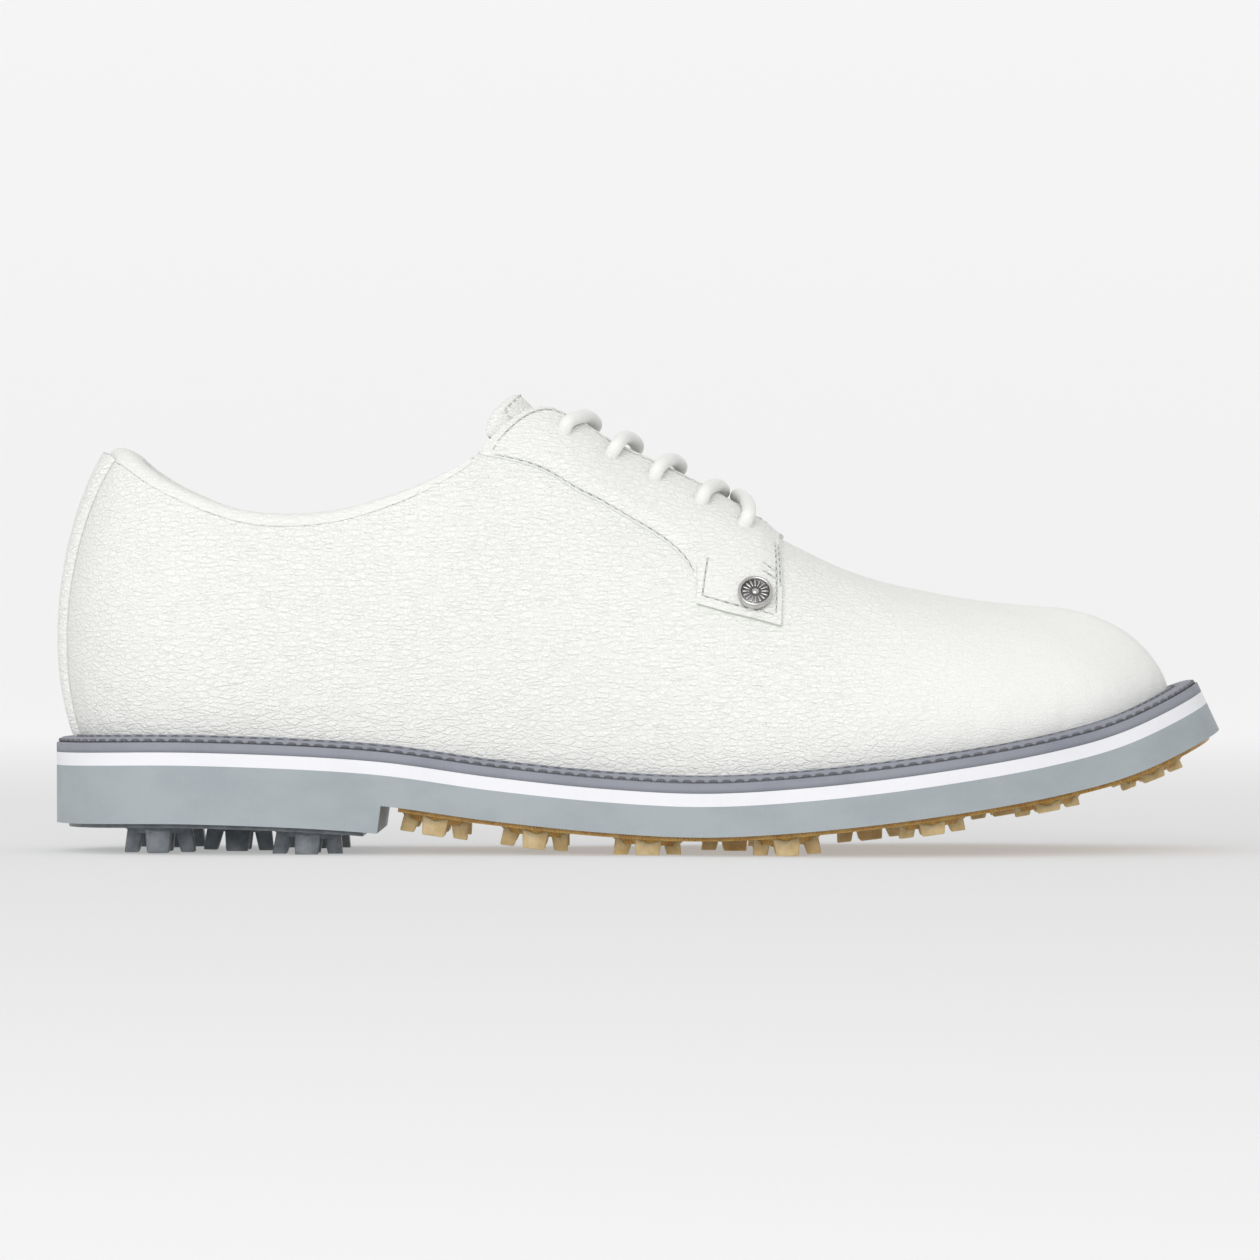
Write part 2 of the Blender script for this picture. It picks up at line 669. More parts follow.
def moulded_rubber(name, colour, dark, speck=None, roughness=0.62, brushed=0.0, depth=0.06):
    """Sole rubber: fine mould texture, faint upright buffing marks, and ground-in specks."""
    s = Shader(name)
    fine = s.noise(s.scaled(1.8, 1.8, 1.8), 1.0, 4.0, 0.65)
    cloud = s.noise(s.scaled(0.05, 0.05, 0.09), 1.0, 3.0, 0.6)
    buffing = s.noise(s.scaled(1.6, 1.6, 0.09), 1.0, 2.0, 0.5)
    height = s.math("ADD", s.math("MULTIPLY", fine, 0.5), s.math("MULTIPLY", buffing, brushed))
    s.bump(height, depth)
    tone = s.math("ADD", s.math("MULTIPLY", cloud, 0.6), s.math("MULTIPLY", buffing, 0.4 * brushed))
    shade = s.blend(s.span(tone, 0.2, 0.42), dark, colour)
    if speck is not None:
        grains = s.cells(s.scaled(1.5, 1.5, 1.5), 1.0, "F1")
        shade = s.blend(s.span(grains, 0.16, 0.10, 0.0, 0.5), shade, speck)
    rough = s.span(fine, 0.3, 0.7, roughness - 0.07, roughness + 0.07)
    return s.finish(shade, rough, Specular_IOR_Level=0.35)


def translucent_tpu(name, colour, deep, roughness=0.34, glow=0.35, clear=0.25):
    """Moulded polyurethane: light passes a little way in, with mould haze and scuffs."""
    s = Shader(name)
    haze = s.noise(s.scaled(0.35, 0.35, 0.35), 1.0, 3.0, 0.6)
    scuff = s.noise(s.scaled(2.4, 2.4, 0.7), 1.0, 4.0, 0.7)
    s.bump(s.math("ADD", s.math("MULTIPLY", haze, 0.5), s.math("MULTIPLY", scuff, 0.5)), 0.09)
    shade = s.blend(s.span(haze, 0.3, 0.7), deep, colour)
    s.surface.inputs["Subsurface Radius"].default_value = (1.0, 0.7, 0.4)
    return s.finish(shade, s.span(scuff, 0.35, 0.7, roughness - 0.08, roughness + 0.14),
                    Subsurface_Weight=glow, Subsurface_Scale=0.003, Transmission_Weight=clear, IOR=1.5)


def worn_metal(name, colour, roughness=0.2):
    s = Shader(name)
    brush = s.noise(s.scaled(9, 9, 1.2), 1.0, 3.0, 0.6)
    tarnish = s.noise(s.scaled(0.8, 0.8, 0.8), 1.0, 3.0, 0.6)
    s.bump(brush, 0.012)
    shade = s.blend(s.span(tarnish, 0.35, 0.8, 0.0, 0.5), colour, tuple(0.55 * c for c in colour))
    return s.finish(shade, s.span(brush, 0.3, 0.7, roughness - 0.06, roughness + 0.08), Metallic=1.0)


def pressed_board(name, light, dark, cell=0.7, depth=0.2):
    """Hidden stiff layers: pressed fibre board, ground cork."""
    s = Shader(name)
    chips = s.cells(s.scaled(cell, cell, cell), 1.0, "F1")
    fibre = s.noise(s.scaled(2.5, 2.5, 2.5), 1.0, 4.0, 0.7)
    s.bump(s.math("ADD", s.math("MULTIPLY", chips, 0.5), s.math("MULTIPLY", fibre, 0.5)), depth)
    return s.finish(s.blend(s.span(s.math("ADD", chips, fibre), 0.5, 1.2), dark, light), 0.88)


def paper_floor(name):
    """Pale paper that glows a little more behind the shoe, where less light falls on it."""
    s = Shader(name)
    tooth = s.noise(s.scaled(0.4, 0.4, 0.4), 1.0, 3.0)
    s.bump(tooth, 0.01)
    back = s.span(s.add("SeparateXYZ", 1, Vector=s.coords), 0.1, 1.9, 0.36, 0.53)
    high = s.span(s.add("SeparateXYZ", 2, Vector=s.coords), 0.02, 0.9, 0.0, 0.04)
    glow = s.math("ADD", back, high)
    colour = s.blend(tooth, (0.415, 0.415, 0.415), (0.425, 0.425, 0.425))
    return s.finish(colour, 0.95, Specular_IOR_Level=0.1,
                    Emission_Color=(1.0, 1.0, 1.0, 1.0), Emission_Strength=glow)


WHITE = pebbled_leather("white_leather")
FACING = pebbled_leather("facing_leather", depth=0.22)
SMOOTH = pebbled_leather("collar_leather", (0.87, 0.875, 0.845), depth=0.15)
FLESH = cut_edge("leather_cut_edge")
PALE_EDGE = cut_edge("painted_edge", (0.72, 0.75, 0.71), (0.82, 0.84, 0.80))
WHITE_THREAD = thread("white_thread", (0.80, 0.81, 0.79), (0.62, 0.63, 0.61))
WELT_THREAD = thread("welt_thread", (0.20, 0.20, 0.22), (0.07, 0.07, 0.085), 1.1)
CHANNEL = needle_channel("needle_channel", (0.40, 0.43, 0.43))
WELT_CHANNEL = needle_channel("welt_channel", (0.12, 0.11, 0.12))
LINING_CLOTH = woven_lining("lining_cloth")
FOOTBED_CLOTH = woven_lining("footbed_cloth", (0.60, 0.61, 0.60), (0.40, 0.41, 0.40), 1.4)
FOAM = open_foam("collar_foam_cloth")
CORD = braided_cord("white_cord")
CLEAR_TIP = translucent_tpu("clear_film", (0.78, 0.79, 0.78), (0.66, 0.67, 0.66), 0.22, 0.1, 0.3)
WELT_RUBBER = moulded_rubber("grey_welt", (0.285, 0.295, 0.34), (0.24, 0.25, 0.295), brushed=0.3)
WHITE_EVA = moulded_rubber("white_midsole", (0.83, 0.83, 0.86), (0.80, 0.80, 0.83), brushed=0.3)
BLUE_RUBBER = moulded_rubber("blue_grey_outsole", (0.37, 0.41, 0.43), (0.33, 0.37, 0.39),
                             speck=(0.50, 0.56, 0.60), roughness=0.6, brushed=0.1)
AMBER = translucent_tpu("amber_plate", (0.72, 0.42, 0.10), (0.50, 0.25, 0.04), 0.28, 0.45, 0.3)
SAND = translucent_tpu("sand_lugs", (0.74, 0.57, 0.30), (0.58, 0.43, 0.20), 0.36, 0.45, 0.18)
SMOKE = translucent_tpu("smoke_lugs", (0.17, 0.19, 0.21), (0.11, 0.125, 0.14), 0.38, 0.2, 0.12)
NICKEL = worn_metal("nickel", (0.60, 0.59, 0.58), 0.2)
DARK_NICKEL = worn_metal("recess_nickel", (0.17, 0.165, 0.165), 0.35)
STEEL = worn_metal("spring_steel", (0.42, 0.43, 0.45), 0.35)
BOARD = pressed_board("fibre_board", (0.50, 0.40, 0.26), (0.30, 0.22, 0.13))
CORK = pressed_board("ground_cork", (0.46, 0.27, 0.13), (0.18, 0.09, 0.04), 0.45, 0.4)

# ---------------------------------------------------------------- upper


def upper_skin():
    """The whole-cut upper, with its lower edge turned in under the insole."""
    columns, rows = 560, 96
    u = np.arange(columns) / columns
    v = np.linspace(0, 1, rows) ** 0.95
    grid_u = np.repeat(u[:, None], rows, 1)
    grid_v = v[None, :] * edge_v(u)[:, None]
    surface = last_points(grid_u, grid_v)
    relief = leather_relief(surface) * smoothstep(grid_v, 0.0, 0.05)
    outer = upper_points(grid_u, grid_v, relief)
    inner = upper_points(grid_u, grid_v, -LEATHER)
    plan = outline_at(FEATHER_OUTLINE, u)
    normal = outline_normal(FEATHER_OUTLINE, u)

    def flange(inwards, depth):
        at = plan - normal * inwards
        return sole_points(at[:, 0], at[:, 1], -depth)[:, None]

    flange_depth = 3.4
    roof_depth = flange_depth - LEATHER
    outer = np.concatenate([
        flange(FEATHER_FLANGE, flange_depth), flange(0.4, flange_depth), flange(0.0, 1.2), outer,
    ], 1)
    inner = np.concatenate([
        flange(FEATHER_FLANGE, roof_depth), flange(LEATHER + 0.4, roof_depth), flange(LEATHER, 1.0), inner,
    ], 1)
    opened = is_open(u) | is_open((u + 1 / columns) % 1)
    points, faces, kinds = shell(outer, inner, wrap=True, open_top=opened)
    piece = add_mesh("upper_leather", points, faces, [WHITE, LINING_CLOTH, FLESH], kinds)
    weld(piece)
    return settle(piece, "shoe", "leather", "leather_upper")


def surface_patch(name, u_range, low, high, outside, inside, columns, rows, materials):
    """A sheet on the last's surface between two u values and two heights."""
    u = np.linspace(*u_range, columns)
    share = np.linspace(0, 1, rows)
    bottom = np.broadcast_to(low, u.shape)
    top = high(u) if callable(high) else np.broadcast_to(high, u.shape)
    grid_u = np.repeat(u[:, None], rows, 1)
    grid_v = bottom[:, None] + (top - bottom)[:, None] * share
    outer = upper_points(grid_u, grid_v, outside(grid_v))
    inner = upper_points(grid_u, grid_v, inside(grid_v))
    points, faces, kinds = shell(outer, inner)
    piece = add_mesh(name, points, faces, materials, np.minimum(kinds, len(materials) - 1))
    return piece


COLLAR_PAD = 3.6
PAD_START = 0.62
PAD_FULL = 0.8
LOW_EDGE = 0.035
QUARTER_STATION = 6.15


def pad_depth(v):
    return COLLAR_PAD * smoothstep(v, PAD_START, PAD_FULL)


def inner_linings():
    reach = QUARTER_STATION / STATION_COUNT
    quarter = surface_patch(
        "quarter_cloth", (-reach, reach), LOW_EDGE, 1.0,
        lambda v: LINING_OUT - pad_depth(v),
        lambda v: LINING_OUT - pad_depth(v) - LINING - 0.35 * np.sin(np.pi * smoothstep(v, PAD_START, 1.0)),
        150, 60, [LINING_CLOTH])
    settle(quarter, "shoe", "lining", "quarter_lining")
    start = reach + 0.05 / STATION_COUNT
    vamp = surface_patch(
        "vamp_cloth", (start, 1 - start), LOW_EDGE, lambda u: edge_v(u, LINING_THROAT_HALF),
        lambda v: LINING_OUT + 0 * v, lambda v: LINING_OUT - LINING + 0 * v, 220, 40, [LINING_CLOTH])
    weld(vamp, 0.3)
    settle(vamp, "shoe", "lining", "vamp_lining")


def collar_padding():
    """The foam between leather and lining round the top line."""
    reach = (QUARTER_STATION - 0.4) / STATION_COUNT
    pad = surface_patch(
        "collar_padding", (-reach, reach), PAD_START + 0.02, 0.995,
        lambda v: STIFFENER_OUT + 0.15 * np.sin(np.pi * smoothstep(v, PAD_START, 1.0)),
        lambda v: LINING_OUT + FIT_GAP - pad_depth(v), 150, 16, [FOAM])
    bevel(pad, 0.4, 2)
    settle(pad, "shoe", "foam", "collar_foam")


def collar_roll():
    """The rolled top line: leather folded over the foam, with a seam where it meets the lining."""
    columns, rows = 240, 22
    reach = u_at_top(111)
    t = np.linspace(-1, 1, columns)
    u = reach * t
    half_width, height = 4.4, 3.2
    up = unit(last_points(u, np.ones_like(u)) - last_points(u, np.full_like(u, 0.99)))
    rings = []
    for angle in np.linspace(-0.16 * np.pi, 1.14 * np.pi, rows):
        across = -half_width + (half_width + 0.1) * math.cos(max(0.0, min(math.pi, angle)))
        taper = np.sqrt(1.02 - t ** 6) if 0 < angle < math.pi else np.ones_like(t)
        seam = 0.25 * math.exp(-((angle - 2.45) / 0.09) ** 2)
        rise = 0.35 + height * math.sin(angle) * taper - seam
        rings.append(upper_points(u, np.ones_like(u), np.full_like(u, across)) + up * rise[:, None])
    rings = np.stack(rings, 1)
    pucker = value_noise(rings, (2.2, 2.2, 2.2), 11)
    centre = rings.mean(1, keepdims=True)
    outer = rings + unit(rings - centre) * (0.09 * pucker)[..., None]
    inner = centre + (rings - centre) * 0.35
    points, faces, _ = shell(outer, inner)
    piece = add_mesh("collar_edge", points, faces, [SMOOTH])
    settle(piece, "shoe", "leather", "collar_roll")


def heel_strip():
    """The narrow strip over the back seam, wider where it meets the collar."""
    columns, rows = 17, 90
    v = np.linspace(0.004, 0.995, rows)
    half = (0.42 + 0.4 * v ** 4) / STATION_COUNT
    across = np.linspace(-1, 1, columns)
    grid_u = across[:, None] * half[None, :]
    grid_v = np.repeat(v[None, :], columns, 0)
    edge = smoothstep(1 - np.abs(across), 0.0, 0.22)[:, None]
    thick = 0.35 + (HEEL_STRIP + 0.5) * edge + 0 * grid_v
    relief = leather_relief(last_points(grid_u, grid_v))
    outer = upper_points(grid_u, grid_v, thick + 0.6 * relief)
    inner = upper_points(grid_u, grid_v, -0.2)
    points, faces, kinds = shell(outer, inner)
    piece = add_mesh("back_strip", points, faces, [WHITE, WHITE, FLESH], kinds)
    settle(piece, "shoe", "leather", "heel_strip")


# ---------------------------------------------------------------- facings

# Facing outline, seen from the side: (length on the ridge, length, height of the lower edge).
EYESTAY_EDGE = [
    (112, 114, 102.5), (118, 125, 100.1), (127, 136.5, 94.1), (135, 144.4, 89.9), (143, 151.2, 85.9),
    (151, 157.2, 82.3), (158, 162, 78.9), (164, 165.8, 75), (168, 168.3, 70.5), (171, 168.4, 64),
    (178, 176, 61.9), (185, 183.4, 60.1), (191, 190, 58.3),
]
TAB_START = 8                # mark where the tab begins, with straight edges from there on
SEAM = 0.006
STITCH = 2.5                 # pitch of the stitch rows, and the mark the needle leaves between two
HOLE = 1.05
EYELETS = {
    True: [(134, 108), (146, 102), (157.5, 96), (169.5, 89.5), (180.5, 83.5)],
    False: [(138.5, 106), (150.5, 100), (161.5, 94), (172, 88), (180.5, 83.5)],
}
_marks_upper = np.array([u_at_top(ridge) for ridge, _, _ in EYESTAY_EDGE])
_marks_lower = np.array([uv_seen_at(x, z) for _, x, z in EYESTAY_EDGE])


def facing_uv(s, t):
    """Lateral u and v of the facing: s runs along its marks, t from lower edge to throat."""
    s, t = np.broadcast_arrays(np.asarray(s, float), np.asarray(t, float))
    marks = np.arange(len(EYESTAY_EDGE))
    smooth_part = catmull(_marks_lower[:TAB_START + 1], np.clip(s / TAB_START, 0, 1))
    straight = np.stack([np.interp(s, marks, _marks_lower[:, k]) for k in (0, 1)], -1)
    lower = np.where((s < TAB_START)[..., None], smooth_part, straight)
    upper_u = np.interp(s, marks, _marks_upper)
    shut = ~is_open(upper_u)
    upper_v = edge_v(upper_u) - SEAM * shut
    return lower[..., 0] + (upper_u - lower[..., 0]) * t, lower[..., 1] + (upper_v - lower[..., 1]) * t


def facing_points(s, t, offset, lateral):
    u, v = facing_uv(s, t)
    u = u if lateral else 1 - u
    return upper_points(u, v, offset), last_normals(u, v)


def facing_drop(s, t):
    """Height of the facing over the upper: full near the lace, skived towards its edges."""
    low, _ = facing_points(s, 0 * t, 0.0, True)
    here, _ = facing_points(s, t, 0.0, True)
    front, _ = facing_points(0 * s + len(EYESTAY_EDGE) - 1, t, 0.0, True)
    from_low = np.linalg.norm(here - low, axis=-1)
    edge = FACING_EDGE + (TAB_EDGE - FACING_EDGE) * smoothstep(s, TAB_START, TAB_START + 1)
    from_front = np.linalg.norm(here - front, axis=-1)
    inside = np.minimum(from_low, from_front)
    return edge + (FACING_FULL - edge) * smoothstep(inside, 0.0, SKIVE)


def facing(lateral):
    columns, rows = 193, 56
    s = np.repeat(np.linspace(0, len(EYESTAY_EDGE) - 1, columns)[:, None], rows, 1)
    t = np.repeat(np.linspace(0, 1, rows)[None, :], columns, 0)
    height = facing_drop(s, t)
    middle, _ = facing_points(s, t, 0.0, lateral)
    for x, z in EYELETS[lateral]:
        u, v = uv_seen_at(x, z)
        eyelet = last_points(u if lateral else 1 - u, v)
        gap = np.linalg.norm(middle - eyelet, axis=-1)
        height = height - 0.7 * np.exp(-(gap / 2.6) ** 2)
    height = height + 0.7 * leather_relief(middle)
    outer, _ = facing_points(s, t, height, lateral)
    inner, _ = facing_points(s, t, -0.15, lateral)
    if not lateral:
        outer, inner = outer[::-1], inner[::-1]
    points, faces, kinds = shell(outer, inner)
    lower_rim = 2 * (columns - 1) * (rows - 1) + np.arange(columns - 1)
    along = s[:-1, 0] if lateral else s[::-1, 0][:-1]
    kinds[lower_rim[(along > TAB_START + 1) & (along < len(EYESTAY_EDGE) - 1)]] = 3
    side = "lateral" if lateral else "medial"
    piece = add_mesh(f"facing_{side}", points, faces, [FACING, FACING, PALE_EDGE, FLESH], kinds)
    bevel(piece, 0.25, 2, 50)
    settle(piece, "shoe", "leather", f"eyestay_{side}")


def facing_row(route, lateral, samples=12):
    """Path and normals of a stitch row that runs through (s, t) places on the facing."""
    places = np.array(route)
    steps = np.arange((len(places) - 1) * samples + 1) / samples
    s, t = (np.interp(steps, np.arange(len(places)), places[:, k]) for k in (0, 1))
    return facing_points(s, t, facing_drop(s, t) + 0.03, lateral)


def needle_holes(path, normals):
    """A short sunken mark between each stitch of a row and the next."""
    total = path_length(path)
    count = max(int(total / STITCH), 1)
    distance = np.r_[0, np.cumsum(np.linalg.norm(np.diff(path, axis=0), axis=1))]
    marks = []
    for middle in np.arange(1, count) * total / count:
        reach = middle + np.linspace(-0.5, 0.5, 3) * HOLE
        out = np.stack([np.interp(reach, distance, normals[:, a]) for a in range(3)], -1)
        marks.append(ribbon_parts(polyline_at(path, reach), out, 0.44, 0.14))
    return marks


def span_length(s):
    low, _ = facing_points(np.array([s]), np.array([0.0]), 0.0, True)
    high, _ = facing_points(np.array([s]), np.array([1.0]), 0.0, True)
    return float(np.linalg.norm(high - low))


def facing_stitching(lateral):
    end = len(EYESTAY_EDGE) - 1

    def up(s, distance):
        """A place at a distance (mm) from the lower edge."""
        return (s, distance / span_length(s))

    def down(s, distance):
        """A place at a distance (mm) from the throat."""
        return (s, 1 - distance / span_length(s))

    lower = [up(s, 0.75) for s in np.linspace(0.25, TAB_START - 0.1, 16)]
    tab = [up(9.18, 11), up(9.18, 6), up(9.18, 1.8), up(10, 1.8), up(11, 1.8), up(11.78, 1.8)]
    front_in = [up(11.78, 1.8), up(11.78, 8), up(11.78, 14), up(11.78, 20), up(11.78, 26)]
    front_out = [up(11.93, 9), up(11.93, 14), up(11.93, 20), up(11.93, 26)]
    cross = [up(11.0, 13.6), up(11.87, 13.2)], [up(11.1, 11.4), up(11.87, 11.2)]
    throat = [down(s, 2.4) for s in np.linspace(0.3, end - 1.2, 30)]
    rows = [lower, tab, front_in, front_out, *cross, throat]
    threads, channels = [], []
    for route in rows:
        path, normals = facing_row(route, lateral)
        threads += stitch_parts(path, normals, STITCH, 0.62 * STITCH, 0.24)
        channels += needle_holes(path, normals)
    side = "lateral" if lateral else "medial"
    points, faces = join_parts(threads)
    settle(add_mesh(f"facing_stitches_{side}", points, faces, [WHITE_THREAD]), "shoe", "leather")
    points, faces = join_parts(channels)
    settle(add_mesh(f"facing_channels_{side}", points, faces, [CHANNEL]), "shoe", "leather")


# ---------------------------------------------------------------- badge

BADGE_PLACE = (183.4, 65.4)
BADGE_RADIUS = 4.5


def lathe(profile, sides=72):
    """A turned solid: profile is (radius, height) from one end of the axis to the other."""
    angles = 2 * np.pi * np.arange(sides) / sides
    profile = np.array(profile, float)
    points = np.stack([
        np.outer(np.cos(angles), profile[:, 0]),
        np.outer(np.sin(angles), profile[:, 0]),
        np.repeat(profile[None, :, 1], sides, 0),
    ], -1)
    faces = grid_faces(sides, len(profile), wrap=True).tolist()
    return points.reshape(-1, 3), faces


def place_on_tab(points):
    u, v = uv_seen_at(*BADGE_PLACE)
    normal = last_normals(u, v)
    centre = last_points(u, v)
    side = unit(np.cross([0.0, 0.0, 1.0], normal))
    up = np.cross(normal, side)
    points = np.asarray(points)
    return centre + points[:, :1] * side + points[:, 1:2] * up + points[:, 2:] * normal


def badge():
    """A dished nickel stud with a plain sunburst in its recess."""
    seat = 2.2
    r = BADGE_RADIUS
    body = [
        (0.0, -2.6), (1.1, -2.6), (1.1, seat - 0.1), (r - 0.9, seat - 0.1), (r - 0.25, seat + 0.1),
        (r, seat + 0.5), (r, seat + 1.9), (r - 0.1, seat + 2.25), (r - 0.35, seat + 2.42),
        (r - 0.7, seat + 2.35), (r - 0.85, seat + 2.1), (r - 0.9, seat + 1.75), (0.02, seat + 1.75),
    ]
    points, faces = lathe(body)
    recess = [(0.02, seat + 1.74), (r - 0.92, seat + 1.74), (r - 0.92, seat + 1.8), (0.02, seat + 1.8)]
    disc_points, disc_faces = lathe(recess)
    rays = []
    count = 16
    for k in range(count):
        angle = 2 * np.pi * k / count
        direction = np.array([math.cos(angle), math.sin(angle), 0.0])
        centres = np.array([direction * d + (0, 0, seat + 1.86) for d in np.linspace(1.45, r - 1.15, 6)])
        rays.append(tube(centres, [0.12, 0.2, 0.25, 0.29, 0.3, 0.2], sides=8, start_up=(0, 0, 1)))
    dome = [
        (1.0, seat + 1.7), (1.0, seat + 1.8), (0.85, seat + 2.05), (0.45, seat + 2.25), (0.02, seat + 2.3),
    ]
    dome_points, dome_faces = lathe(dome, 40)
    ray_points, ray_faces = join_parts(rays + [(dome_points, dome_faces)])
    all_points, all_faces = join_parts([(points, faces), (disc_points, disc_faces), (ray_points, ray_faces)])
    kinds = [0] * len(faces) + [1] * len(disc_faces) + [0] * len(ray_faces)
    piece = add_mesh("tab_stud", place_on_tab(all_points), all_faces, [NICKEL, DARK_NICKEL], kinds)
    modifier = piece.modifiers.new("worn_edges", "BEVEL")
    modifier.width = 0.05 * MM
    modifier.limit_method = "ANGLE"
    modifier.angle_limit = math.radians(50)
    settle(piece, "shoe", "metal", "tab_badge")


# ---------------------------------------------------------------- tongue

TONGUE_LINE = [
    (203, 66), (186, 75.5), (167, 87.5), (150, 96.8), (138, 104.2), (130.4, 110.9), (125.6, 116.4),
    (121.6, 120.4),
]


def tongue_points(t, w, depth):
    """t from the tongue's base to its top, w across from -1 to 1, depth inwards from the outer face."""
    t, w, depth = np.broadcast_arrays(*(np.asarray(a, float) for a in (t, w, depth)))
    step = 1e-3
    centre = catmull(TONGUE_LINE, t, power=0.25)
    along = unit(catmull(TONGUE_LINE, np.minimum(t + step, 1), power=0.25)
                 - catmull(TONGUE_LINE, np.maximum(t - step, 0), power=0.25))
    half = 14 + (13.4 - 14) * t
    end_round = np.sqrt(1 - 0.55 * np.clip((t - 0.9) / 0.1, 0, None) ** 2)
    y = half * end_round * w
    inwards = y * y / (2 * (13.5 - 4.5 * smoothstep(t, 0.5, 1.0))) + depth
    x = centre[..., 0] - along[..., 1] * inwards
    z = centre[..., 1] + along[..., 0] * inwards
    return np.stack([x, y, z], -1)


def tongue():
    """One padded body: leather face, foam inside, cloth back, closed by a rounded edge."""
    lengthwise, around = 120, 72
    t = np.linspace(0.0, 1.0, lengthwise)
    total = 4.4 + 2.1 * smoothstep(t, 0.2, 0.95)
    taper = np.sqrt(np.clip(1 - ((t - 0.94) / 0.0601) ** 2, 0, 1)) * (t > 0.94) + (t <= 0.94)
    taper = np.maximum(taper, 0.12)
    angle = 2 * np.pi * np.arange(around) / around
    w = np.sign(np.cos(angle)) * np.abs(np.cos(angle)) ** 0.55
    d = np.sign(np.sin(angle)) * np.abs(np.sin(angle)) ** 0.7
    grid_t = np.repeat(t[:, None], around, 1)
    thick = (total * taper)[:, None]
    middle = total[:, None] / 2 + 0.1
    front = d[None, :] < 0
    channel = np.exp(-((np.abs(w) - 0.80) / 0.035) ** 2)[None, :] * (t < 0.95)[:, None]
    depth = middle + d[None, :] * thick / 2 + np.where(front, 0.35, -0.35) * channel
    points = tongue_points(grid_t, np.repeat(w[None, :], lengthwise, 0), np.maximum(depth, 0.02))
    soft = value_noise(points, (7, 6, 7), 21) * 0.16
    points = points + (soft * ~front)[..., None] * np.array([0.3, 0.0, 0.5])
    faces = ring_faces(lengthwise, around)
    cloth = np.sin(2 * np.pi * (np.arange(around) + 0.5) / around) >= 0.25
    kinds = [int(is_cloth) for _ in range(lengthwise - 1) for is_cloth in cloth] + [0, 0]
    piece = add_mesh("tongue_pad", points, faces, [FACING, LINING_CLOTH], kinds)
    settle(piece, "tongue", "leather", "tongue_leather", "tongue_foam", "tongue_lining")
    t_row = np.r_[np.linspace(0.3, 0.955, 60)]
    left = np.stack([t_row, np.full_like(t_row, -0.80)], -1)
    right = np.stack([t_row[::-1], np.full_like(t_row, 0.80)], -1)
    over = np.stack([np.full(20, 0.955), np.linspace(-0.80, 0.80, 20)], -1)
    route = np.vstack([left, over, right])
    path = tongue_points(route[:, 0], route[:, 1], 0.18)
    below = tongue_points(route[:, 0], route[:, 1], 1.18)
    points, faces = join_parts(stitch_parts(path, unit(path - below), 2.6, 1.8, 0.26))
    settle(add_mesh("tongue_stitches", points, faces, [WHITE_THREAD]), "tongue", "leather")


# ---------------------------------------------------------------- lace

LACE_ROUTE = [
    (180.3, -32.6, 55.8), (180.3, -30.4, 62), (179.9, -26.8, 67.7), (179.2, -22.8, 72.4),
    (178.6, -19.6, 76.5),
    (180.5, -19.6, 83.7), (182, -20.8, 87.1), (182, -8, 91), (179.6, 8, 92.8), (181.9, 20.9, 87.1),
    (180.4, 19.6, 83.7), (178.5, 16.2, 81), (173.5, 1, 87.4), (169, -14.2, 86.9),
    (169.6, -17.4, 89.7), (170.7, -18.9, 92.9), (173.6, -8, 95.3), (176, 8, 93.9), (173, 19.6, 91.4),
    (171.9, 17.9, 88.2), (170, 14.6, 85.2), (163.4, 1.5, 92.9), (157, -11.4, 93.4),
    (157.6, -14.6, 96.2), (158.7, -16.3, 99.3), (161.8, -8, 102), (164.8, 8, 100.3), (162.4, 16.6, 97.4),
    (161.5, 14.8, 94.2), (159.6, 11.4, 91.5), (152.3, 0.5, 98.4), (145, -10.6, 99.4),
    (146.1, -13.5, 102.2), (147.9, -15.2, 105.3), (150, -8, 107.8), (153.4, 8, 105.9), (151.8, 14.3, 103.1),
    (150.5, 12.3, 100.2), (148.4, 9.2, 97.7), (140.9, -1, 104), (133.3, -11, 105.2),
    (134.1, -14.5, 108.2), (135.2, -16.5, 111.2), (139.3, -8.2, 113.3), (142.4, 8, 111.5),
    (140.1, 15.8, 109.1),
    (138.6, 13.7, 106.2), (136.8, 12, 102.2), (137, 16.4, 96.4), (137.6, 18.4, 90), (138, 19.6, 84),
    (138, 20.6, 77.6), (137.5, 22.4, 68),
]


def lace():
    steps = 1500
    route = catmull(LACE_ROUTE, np.linspace(0, 1, steps), power=0.25)
    length = path_length(route)
    route = polyline_at(route, np.linspace(0, length, steps))
    swell = 1 + 0.012 * np.sin(np.linspace(0, length, steps) * 1.9)
    points, faces = tube(route, LACE_RADIUS * swell, sides=20, start_up=(1.0, 0.0, 0.0))
    piece = add_mesh("lace_cord", points, faces, [CORD])
    settle(piece, "shoe", "lace", "lace")


# ---------------------------------------------------------------- sole

